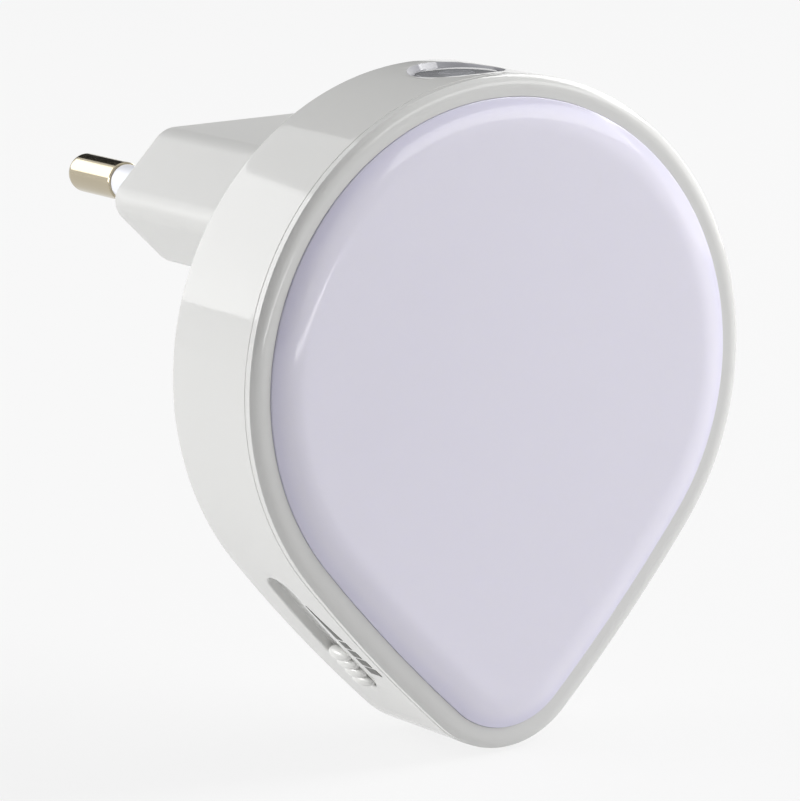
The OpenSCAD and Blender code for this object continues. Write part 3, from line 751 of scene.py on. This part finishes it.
# A Geometry Nodes tree with named inputs
class Tree:
    def __init__(self, name, inputs):
        self.group = bpy.data.node_groups.new(name, "GeometryNodeTree")
        face = self.group.interface
        face.new_socket("Geometry", in_out="INPUT", socket_type="NodeSocketGeometry")
        self.ids = {}
        for label, kind in inputs.items():
            socket = face.new_socket(label, in_out="INPUT", socket_type="NodeSocket" + kind)
            self.ids[label] = socket.identifier
        face.new_socket("Geometry", in_out="OUTPUT", socket_type="NodeSocketGeometry")
        self.entry = self.put("NodeGroupInput")

    def put(self, kind, settings=None, values=None):
        node = self.group.nodes.new(kind)
        for key, value in (settings or {}).items():
            setattr(node, key, value)
        for key, value in (values or {}).items():
            if isinstance(value, bpy.types.NodeSocket):
                self.group.links.new(value, node.inputs[key])
            else:
                node.inputs[key].default_value = value
        return node

    def given(self, label):
        return self.entry.outputs[label]

    def vector(self, **parts):
        return self.put("ShaderNodeCombineXYZ", {}, parts).outputs[0]

    def maths(self, operation, a, b):
        return self.put("ShaderNodeMath", {"operation": operation}, {0: a, 1: b}).outputs[0]

    # A row of points that starts at one place and goes on in equal steps
    def row(self, count, start, step):
        return self.put("GeometryNodeMeshLine", {}, {
            "Count": count, "Start Location": start, "Offset": step}).outputs["Mesh"]

    # Ends the tree: its parts joined, in real geometry, with their material
    def close(self, parts, material):
        joined = self.put("GeometryNodeJoinGeometry")
        for part in parts:
            self.group.links.new(part, joined.inputs[0])
        real = self.put("GeometryNodeRealizeInstances", {}, {"Geometry": joined.outputs["Geometry"]})
        painted = self.put("GeometryNodeSetMaterial", {}, {
            "Geometry": real.outputs["Geometry"], "Material": material})
        self.put("NodeGroupOutput", {}, {"Geometry": painted.outputs["Geometry"]})

    def run(self, obj, values):
        mod = obj.modifiers.new("build", "NODES")
        mod.node_group = self.group
        for label, value in values.items():
            mod[self.ids[label]] = value
        return bakeModifiers(obj)


# Drawn lying down: the outline on the floor, the profile hanging below it
def makeBezel():
    path = lineMesh("bezelRing", [(x, z + body["centreDrop"], 0) for x, y, z in bodyRing(0, 0)])
    section = lineMesh("bezelSection", [(-across, depth, 0) for across, depth in bezelProfile()])
    tree = Tree("sweptBezel", {"Section": "Object"})
    curve = tree.put("GeometryNodeMeshToCurve", {}, {"Mesh": tree.given("Geometry")})
    level = tree.put("GeometryNodeSetCurveNormal", {"mode": "Z_UP"}, {"Curve": curve.outputs["Curve"]})
    held = tree.put("GeometryNodeObjectInfo", {}, {"Object": tree.given("Section")})
    profile = tree.put("GeometryNodeMeshToCurve", {}, {"Mesh": held.outputs["Geometry"]})
    swept = tree.put("GeometryNodeCurveToMesh", {}, {
        "Curve": level.outputs["Curve"], "Profile Curve": profile.outputs["Curve"]})
    tree.close([swept.outputs["Mesh"]], looks["shell"])
    ring = tree.run(path, {"Section": section})
    bpy.data.objects.remove(section)
    for v in ring.data.vertices:
        v.co = (v.co.x * mm, (body["backAt"] + v.co.z) * mm, (v.co.y - body["centreDrop"]) * mm)
    smoothed(facedOut(ring.data))
    return evenNormals(ring)


print("bezel")
dress(makeBezel(), "lamp", "shell", looks["shell"], "bezel_ring")

# Opal front: edge, fillet and low crown
opal = {
    "edge": 2.12, "locator": 4.15, "locatorWall": 0.9, "wall": 1.6, "back": 12.0, "seat": 12.8,
    "sideTop": 14.12, "corner": 0.08, "cornerRise": 0.04, "round": 3.3, "roundSteps": 20, "rise": 0.62,
    "front": 15.3, "middle": (0.0, -6.5), "reach": 33.0,
    "insets": (5.8, 6.4, 7.2, 8.0), "shares": (0.85, 0.7, 0.55, 0.4, 0.27, 0.15, 0.06), "ceilingShare": 0.3,
}


# Depth of the front at an inset: an arc from the edge that runs out into the low crown
def opalFront(inset, x, z):
    o = opal
    left = max(0.0, o["round"] - (inset - o["edge"]))
    radius = (o["round"] ** 2 + o["rise"] ** 2) / (2 * o["rise"])
    edge = (math.sqrt(radius ** 2 - left ** 2) - radius + o["rise"]) / o["rise"]
    away = math.hypot(x - o["middle"][0], z - o["middle"][1]) / o["reach"]
    crown = (o["front"] - o["sideTop"] - o["rise"]) * (1 - min(1.0, away) ** 2)
    return o["sideTop"] + (o["rise"] + crown) * edge


def makeOpal():
    o = opal
    c = o["corner"]
    last = o["insets"][-1]
    mx, mz = o["middle"]
    shell = Shell()

    def flatRing(inset):
        return [(x, z + body["centreDrop"]) for x, y, z in bodyRing(inset, 0)]

    def place(x, z, depth):
        return (x, body["backAt"] - depth, z - body["centreDrop"])

    # the last ring drawn in towards the middle
    def drawnIn(share):
        return [(mx + (x - mx) * share, mz + (z - mz) * share) for x, z in flatRing(last)]

    def frontRing(inset, loop):
        return [place(x, z, opalFront(inset, x, z)) for x, z in loop]

    insets = [o["edge"] + c + (o["round"] - c) * k / o["roundSteps"] for k in range(o["roundSteps"] + 1)]
    rings = [bodyRing(o["edge"], o["seat"]), bodyRing(o["edge"], o["sideTop"] - c)]
    rings += [bodyRing(o["edge"] + c * across, o["sideTop"] - c * (1 - along) + o["cornerRise"] * across)
              for across, along in quarter(4)[1:-1]]
    rings += [frontRing(inset, flatRing(inset)) for inset in [*insets, *o["insets"]]]
    rings += [frontRing(last, drawnIn(share)) for share in o["shares"]]
    shell.fan(shell.stack(rings)[-1], place(mx, mz, opalFront(last, mx, mz)))
    ceiling = o["front"] - o["wall"]
    locator = o["locator"] + o["locatorWall"]
    inner = shell.stack([
        bodyRing(o["edge"], o["seat"]), bodyRing(o["locator"], o["seat"]), bodyRing(o["locator"], o["back"]),
        bodyRing(locator, o["back"]), bodyRing(locator, ceiling),
        [place(x, z, ceiling) for x, z in drawnIn(o["ceilingShare"])],
    ])
    shell.fan(inner[-1], place(mx, mz, ceiling))
    return shell.build("opalDiffuser")


print("diffuser")
dress(asObject(makeOpal()), "lamp", "opal", looks["opal"], "diffuser")


# Turned shapes from (radius, place along the axis): pins and sleeves along the plug, the lens across the wall
def turned(name, profile, put):
    shell = Shell()
    made = shell.stack([[put(u, v, along) for u, v in circleLoop(0, 0, r, 64)] for r, along in profile])
    if profile[0] != profile[-1]:
        shell.fan(made[0], put(0, 0, profile[0][1]))
        shell.fan(made[-1], put(0, 0, profile[-1][1]))
    return shell.build(name)


# Roundings are steps of (in from the radius, along from the end)
pinSize = {
    "radius": 2.0, "core": 1.45, "length": 19.0, "nose": 1.5, "noseSteps": 10,
    "shoulder": ((0.12, 0.0), (0.03, 0.04), (0.0, 0.14)),
    "head": 2.6, "headFront": -3.3, "headBack": -4.5, "headEdge": 0.1,
    "tail": 1.0, "tailEnd": -7.3, "tailEdge": 0.15,
    "sleeve": 1.8, "sleeveEnd": 10.0, "sleeveEdge": ((0.0, 0.2), (0.06, 0.06), (0.2, 0.0)),
    "bore": 1.5, "flange": 2.9,
}


def pinProfile():
    p = pinSize
    e = p["headEdge"]
    points = [(p["tail"] - p["tailEdge"], p["tailEnd"]), (p["tail"], p["tailEnd"] + p["tailEdge"]),
              (p["tail"], p["headBack"]), (p["head"] - e, p["headBack"]), (p["head"], p["headBack"] + e),
              (p["head"], p["headFront"]), (p["core"], p["headFront"]), (p["core"], p["sleeveEnd"])]
    points += [(p["radius"] - inwards, p["sleeveEnd"] + along) for inwards, along in p["shoulder"]]
    flat = p["radius"] - p["nose"]
    for k in range(p["noseSteps"] + 1):
        a = math.pi / 2 * k / p["noseSteps"]
        points.append((flat + p["nose"] * math.cos(a), p["length"] - p["nose"] + p["nose"] * math.sin(a)))
    return points


def sleeveProfile():
    p = pinSize
    seat = -housing["plugEnd"]
    points = [(p["bore"], p["headFront"]), (p["flange"], p["headFront"]), (p["flange"], seat),
              (p["sleeve"], seat)]
    points += [(p["sleeve"] - inwards, p["sleeveEnd"] - along) for inwards, along in p["sleeveEdge"]]
    return points + [(p["bore"], p["sleeveEnd"]), (p["bore"], p["headFront"])]


# Puts a turned shape on a line along the plug, x from the middle
def besideMiddle(x):
    return lambda u, v, along: (x + u, along, v)


print("pins")
for label, side in (("left", -1), ("right", 1)):
    put = besideMiddle(side * housing["pinGap"] / 2)
    pin = asObject(turned(label + "Pin", pinProfile(), put))
    dress(pin, "lamp", "nickel", looks["nickel"], label + "_pin")
    sleeve = asObject(turned(label + "Sleeve", sleeveProfile(), put))
    dress(sleeve, "lamp", "sleeve", looks["sleeve"], label + "_sleeve")

# Sensor window, a clear plug with a low dome
lens = {"radius": 4.0, "top": 27.95, "dome": 0.3, "domeSteps": 12, "edge": 0.12, "foot": 0.1}


def makeLens():
    r, top, edge = lens["radius"], lens["top"], lens["edge"]
    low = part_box("sensor_window")[0].z / mm + body["centreDrop"]
    points = [(r - lens["foot"], low), (r, low + lens["foot"]), (r, top - edge)]
    points += [(r - edge * across, top - edge * (1 - along)) for across, along in quarter(4)]
    for k in range(1, lens["domeSteps"]):
        share = 1 - k / lens["domeSteps"]
        points.append(((r - edge) * share, top + lens["dome"] * (1 - share ** 2)))
    middle = body["backAt"] - body["sensorDepth"]
    return turned("sensorWindow", points, lambda u, v, height: (u, middle + v, height - body["centreDrop"]))


dress(asObject(makeLens()), "lamp", "clear", looks["clear"], "sensor_window")

# Dimmer: the slot's frame has x up the wall, y to the back, z out of the wall
knob = {
    "length": 6.0, "width": 3.6, "base": -0.7, "top": 0.3, "edge": 0.35, "foot": 0.08, "travel": 10.0,
    "ribs": 4, "pitch": 1.3, "ribWidth": 1.5, "ribLength": 3.5, "ribHeight": 0.24, "ribSink": 0.5,
}
slotCentre = Vector(onBody(slotMiddle, housing["slotDepth"]))
slotUpAxis = (Vector(onBody(slotMiddle - 0.5, 0)) - Vector(onBody(slotMiddle + 0.5, 0))).normalized()
slotOutAxis = (Vector(onBody(slotMiddle, 0, 1)) - Vector(onBody(slotMiddle, 0))).normalized()
slotFrame = Matrix((slotUpAxis, Vector((0, 1, 0)), slotOutAxis)).transposed().to_4x4()
slotFrame.translation = slotCentre


# The knob's block at the lower end of its travel, in the slot's frame
def knobBlock():
    k = knob
    down = -k["travel"] / 2
    shell = Shell()

    def level(shrink, z):
        loop = stadiumLoop(0, 0, k["length"] - 2 * shrink, k["width"] - 2 * shrink, straight=10, turn=12)
        return [(u + down, v, z) for u, v in loop]

    levels = [level(k["foot"], k["base"]), level(0, k["base"] + k["foot"])]
    levels += [level(k["edge"] * across, k["top"] - k["edge"] * (1 - along)) for across, along in quarter(5)]
    made = shell.stack(levels)
    shell.fan(made[0], (down, 0, k["base"]))
    shell.fan(made[-1], (down, 0, k["top"]))
    return shell.build("dimmerKnob")


def makeKnob():
    k = knob
    data = knobBlock()
    obj = placed(data.name, data)
    tree = Tree("knobRibs", {
        "Ribs": "Int", "Pitch": "Float", "Width": "Float", "Length": "Float", "Thick": "Float",
        "First": "Float", "Height": "Float"})
    spots = tree.row(tree.given("Ribs"), tree.vector(X=tree.given("First"), Z=tree.given("Height")),
                     tree.vector(X=tree.given("Pitch")))
    ball = tree.put("GeometryNodeMeshUVSphere", {}, {"Segments": 32, "Rings": 20, "Radius": 0.5})
    rib = tree.put("GeometryNodeTransform", {}, {
        "Geometry": ball.outputs["Mesh"],
        "Scale": tree.vector(X=tree.given("Width"), Y=tree.given("Length"), Z=tree.given("Thick"))})
    copies = tree.put("GeometryNodeInstanceOnPoints", {}, {
        "Points": spots, "Instance": rib.outputs["Geometry"]})
    tree.close([tree.given("Geometry"), copies.outputs["Instances"]], looks["knob"])
    first = -k["travel"] / 2 - (k["ribs"] - 1) / 2 * k["pitch"]
    tree.run(obj, {
        "Ribs": k["ribs"], "Pitch": k["pitch"], "Width": k["ribWidth"], "Length": k["ribLength"],
        "Thick": 2 * (k["ribHeight"] + k["ribSink"]), "First": first, "Height": k["top"] - k["ribSink"]})
    obj.data.transform(Matrix.Scale(mm, 4) @ slotFrame)
    smoothed(obj.data)
    return obj


print("dimmer")
dress(makeKnob(), "dimmer_slider", "knob", looks["knob"], "dimmer_knob")

# Mark beside the slot: a wedge that grows down the wall, its wide end cut into bars
mark = {
    "tip": 4.1, "tipWidth": 0.06, "solidEnd": 8.9, "rows": 14, "rear": 8.75, "slant": 0.107, "growth": 0.2,
    "ink": 0.03, "bars": 4, "firstBar": 9.7, "barPitch": 1.28, "barLength": 1.0,
}


# The solid part of the wedge as (distance down the wall, depth, lift)
def wedge():
    m = mark
    low, high = [], []
    for k in range(m["rows"] + 1):
        s = m["tip"] + (m["solidEnd"] - m["tip"]) * k / m["rows"]
        low.append((s, m["rear"]))
        high.append((s, m["rear"] + m["tipWidth"] + m["growth"] * (s - m["tip"])))
    loop = low + high[::-1]
    shell = Shell()
    upper = shell.ring([(s, v, m["ink"]) for s, v in loop])
    lower = shell.ring([(s, v, -m["ink"]) for s, v in loop])
    shell.band(upper, lower)
    n = len(low)
    for ids in (upper, lower):
        shell.faces += [(ids[i], ids[i + 1], ids[2 * n - 2 - i], ids[2 * n - 1 - i]) for i in range(n - 1)]
    data = bpy.data.meshes.new("dimmerMark")
    data.from_pydata(shell.points, [], shell.faces)
    return data


def makeMark():
    m = mark
    obj = placed("dimmerMark", wedge())
    tree = Tree("markBars", {
        "Bars": "Int", "Pitch": "Float", "First": "Float", "Length": "Float", "Rear": "Float",
        "Growth": "Float", "Tip": "Float", "Ink": "Float"})
    spots = tree.row(tree.given("Bars"), tree.vector(X=tree.given("First"), Y=tree.given("Rear")),
                     tree.vector(X=tree.given("Pitch")))
    thick = tree.maths("MULTIPLY", tree.given("Ink"), 2.0)
    bar = tree.put("GeometryNodeMeshCube", {}, {
        "Size": tree.vector(X=tree.given("Length"), Y=1.0, Z=thick),
        "Vertices X": 5, "Vertices Y": 2, "Vertices Z": 2})
    raised = tree.put("GeometryNodeTransform", {}, {
        "Geometry": bar.outputs["Mesh"], "Translation": (0, 0.5, 0)})
    # each bar is as wide as the wedge is at its place
    spot = tree.put("GeometryNodeInputPosition")
    parts = tree.put("ShaderNodeSeparateXYZ", {}, {0: spot.outputs[0]})
    fromTip = tree.maths("SUBTRACT", parts.outputs["X"], tree.given("Tip"))
    width = tree.maths("MULTIPLY", fromTip, tree.given("Growth"))
    copies = tree.put("GeometryNodeInstanceOnPoints", {}, {
        "Points": spots, "Instance": raised.outputs["Geometry"], "Scale": tree.vector(X=1.0, Y=width, Z=1.0)})
    tree.close([tree.given("Geometry"), copies.outputs["Instances"]], ink)
    tree.run(obj, {
        "Bars": m["bars"], "Pitch": m["barPitch"], "First": m["firstBar"], "Length": m["barLength"],
        "Rear": m["rear"], "Growth": m["growth"], "Tip": m["tip"], "Ink": m["ink"]})
    for v in obj.data.vertices:
        depth = v.co.y + m["slant"] * (v.co.x - m["tip"])
        v.co = Vector(onBody(leftFlankTop + v.co.x, depth, v.co.z)) * mm
    facedOut(obj.data)
    return obj


dress(makeMark(), "lamp", "black", ink)

# CAD nodes that keep their shape take the finish of their slot
nodeSlots = {
    "light_tray": "reflector", "led_board": "white_board", "leds": "led", "tray_screws": "steel",
    "sensor_shroud": "black", "photocell": "cell", "photocell_leads": "tin", "main_board": "green_board",
    "board_screws": "steel", "board_link": "black", "bridge_rectifier": "chip", "controller_chip": "chip",
    "chip_resistors": "chip", "fusible_resistor": "resistor", "dropper_capacitor": "film",
    "smoothing_capacitor": "can", "pin_retainer": "retainer", "left_wire": "brown_wire",
    "right_wire": "blue_wire", "dimmer_case": "case_steel", "dimmer_track": "track",
    "dimmer_terminals": "tin", "dimmer_carrier": "carrier", "dimmer_wiper": "contact",
}
for node, slot in nodeSlots.items():
    for holder in frame["nodes"][node].material_slots:
        holder.material = looks[slot]
print("finishes on", len(nodeSlots), "CAD nodes")

# Floor, room, cards, lamps and camera
stage = {
    "floor": -0.0501, "reach": 4.0, "tone": (0.955, 0.955, 0.955, 1), "seen": 0.88,
    "paper": ((0.8, 0.8, 0.8), (0.82, 0.82, 0.82)), "room": 0.41, "roomTone": (0.93, 0.93, 0.94, 1),
    "aim": (0, -0.035, -0.018),
}


def gridMesh(name, steps, reach):
    bm = bmesh.new()
    bmesh.ops.create_grid(bm, x_segments=steps, y_segments=steps, size=reach)
    data = bpy.data.meshes.new(name)
    bm.to_mesh(data)
    bm.free()
    return data


def paperMaterial():
    paint = Paint("paperFloor")
    fibre = paint.noise(400.0, 3.0)
    paper = paint.put("ShaderNodeBsdfDiffuse", {}, {"Color": paint.shade(fibre, *stage["paper"])})
    glow = paint.put("ShaderNodeEmission", {}, {"Color": stage["tone"], "Strength": 1.0})
    mixed = paint.put("ShaderNodeMixShader", {}, {0: paint.seenRays() * stage["seen"], 1: paper, 2: glow})
    paint.put("ShaderNodeOutputMaterial", {}, {"Surface": mixed})
    return paint.material


def makeFloor():
    data = gridMesh("paperFloor", 8, stage["reach"])
    data.transform(Matrix.Translation((0, 0, stage["floor"])))
    data.materials.append(paperMaterial())
    placed("paperFloor", data)


# Even light from all round, and a plain pale background for all rays that show it
def makeRoom():
    paint = Paint("paleRoom", bpy.data.worlds.new("paleRoom"))
    room = paint.put("ShaderNodeBackground", {}, {"Color": stage["roomTone"], "Strength": stage["room"]})
    pale = paint.put("ShaderNodeBackground", {}, {"Color": stage["tone"], "Strength": 1.0})
    mixed = paint.put("ShaderNodeMixShader", {}, {0: paint.seenRays(), 1: room, 2: pale})
    paint.put("ShaderNodeOutputWorld", {}, {"Surface": mixed})
    bpy.context.scene.world = paint.material


# Turns an axis of something at a place towards the lamp's middle
def aimed(at, axis):
    return (Vector(stage["aim"]) - Vector(at)).to_track_quat(axis, "Y")


# Lamps by name: place and size in metres, power in watts
lamps = {
    "boxBehindLeft": ((-0.30, 0.78, 0.31), (0.50, 0.40), 1.2),
    "boxUpperRight": ((0.85, -0.30, 0.75), (0.6, 1.0), 11.8),
    "boxRight": ((1.1, -0.25, 0.08), (0.9, 0.6), 2.2),
    "boxLeft": ((-0.95, 0.62, 0.10), (0.6, 0.32), 9.0),
    "boxFrontRight": ((0.65, -0.84, 0.28), (0.77, 0.20), 1.2),
    "stripLow": ((0.074, -0.357, -0.041), (0.13, 0.008), 0.02),
}


def makeLamp(name, at, size, power):
    data = bpy.data.lights.new(name, "AREA")
    data.shape = "RECTANGLE"
    data.size, data.size_y = size
    data.energy = power
    obj = placed(name, data)
    obj.location = at
    obj.rotation_euler = aimed(at, "-Z").to_euler()
    obj.visible_camera = False


# Dark cards, out of sight: they give polished parts something dark to mirror and hold light off the front
cards = {
    "cardBehind": ((0.35, 0.74, 0.35), (0.56, 0.48)),
    "cardFront": ((-0.39, -0.61, 0.25), (1.2, 0.6)),
}


def makeCard(name, at, size):
    data = gridMesh(name, 4, 0.5)
    data.transform(Matrix.Diagonal((*size, 1, 1)))
    data.transform(aimed(at, "Z").to_matrix().to_4x4())
    data.transform(Matrix.Translation(at))
    data.materials.append(mouldedPlastic("darkCard", (0.12, 0.12, 0.12), rough=0.9, cloud=0.9))
    obj = placed(name, data)
    obj.visible_camera = False


camera = {
    "at": (-0.2825, -0.4443, 0.0843), "right": (0.82706, -0.56190, -0.01589),
    "up": (0.12475, 0.15591, 0.97986), "ahead": (0.54810, 0.81238, -0.19904),
    "lens": 236.6, "sensor": 36, "nearest": 0.01,
}


def makeCamera():
    data = bpy.data.cameras.new("camera")
    data.lens = camera["lens"]
    data.sensor_fit = "HORIZONTAL"
    data.sensor_width = camera["sensor"]
    data.clip_start = camera["nearest"]
    view = placed("camera", data)
    pose = Matrix((camera["right"], camera["up"], [-c for c in camera["ahead"]])).transposed().to_4x4()
    pose.translation = camera["at"]
    view.matrix_world = pose
    bpy.context.scene.camera = view


print("stage")
makeFloor()
for name, (at, size, power) in lamps.items():
    makeLamp(name, at, size, power)
for name, (at, size) in cards.items():
    makeCard(name, at, size)
makeRoom()
makeCamera()
bpy.context.scene.view_settings.view_transform = "Standard"
